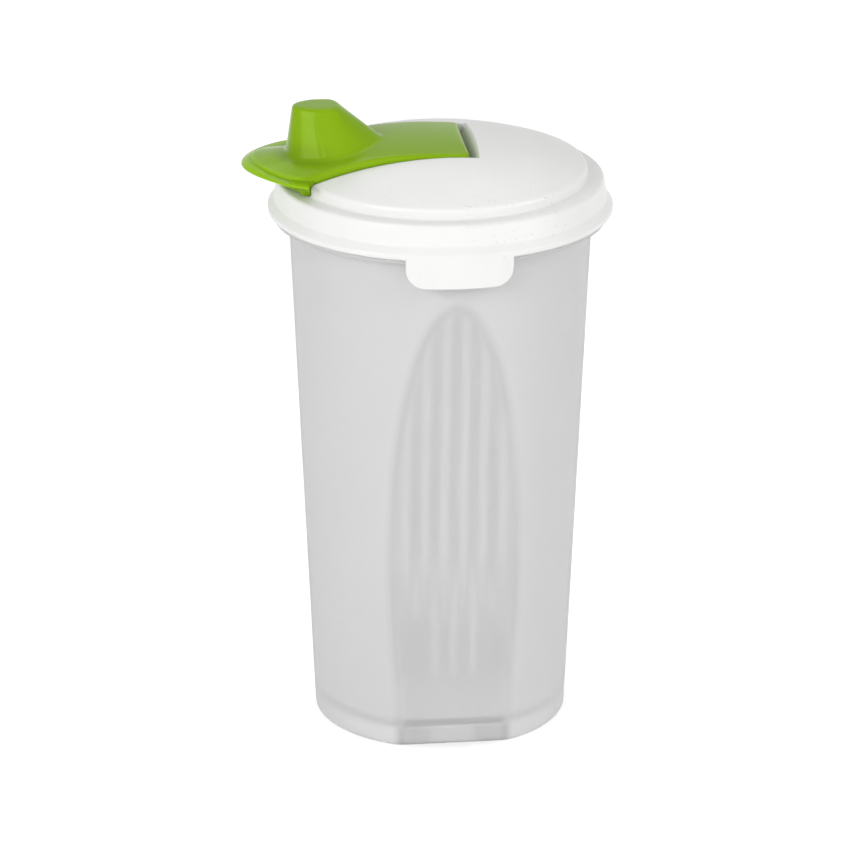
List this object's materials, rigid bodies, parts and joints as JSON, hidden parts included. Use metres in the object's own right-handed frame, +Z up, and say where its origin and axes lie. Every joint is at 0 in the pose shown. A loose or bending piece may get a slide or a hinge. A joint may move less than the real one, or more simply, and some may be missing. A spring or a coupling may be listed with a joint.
{
  "type": "salad dressing shaker bottle",
  "caption": "Tall tapered translucent shaker bottle with a grip panel, a white snap lid with a pull tab, and a green flip cover over its pour spout.",
  "frame": {"origin": "on the bottle's axis, in the plane of the standing ring it rests on", "axes": "+Z up along the bottle's axis; -Y towards the grip panel and the pull tab; -X along the flip cover from its hinge to its thumb lip"},
  "size_m": [0.099, 0.092, 0.1727],
  "materials": {
    "frosted_plastic": "translucent frosted natural polypropylene",
    "white_plastic": "satin white polyethylene",
    "green_plastic": "satin lime green polypropylene"
  },
  "bodies": {
    "cup": {"cup": "frosted_plastic"},
    "lid": {"lid": "white_plastic"},
    "flip_cover": {"flip_cover": "green_plastic"}
  },
  "joints": [
    {"name": "lid_lift", "type": "slide", "parent": "cup", "child": "lid", "axis": [0, 0, 1], "range_m": [0, 0.025]},
    {"name": "cover_hinge", "type": "hinge", "parent": "lid", "child": "flip_cover", "pos_m": [0.0026, 0, 0.1594], "axis": [0, 1, 0], "range_deg": [0, 115]}
  ]
}
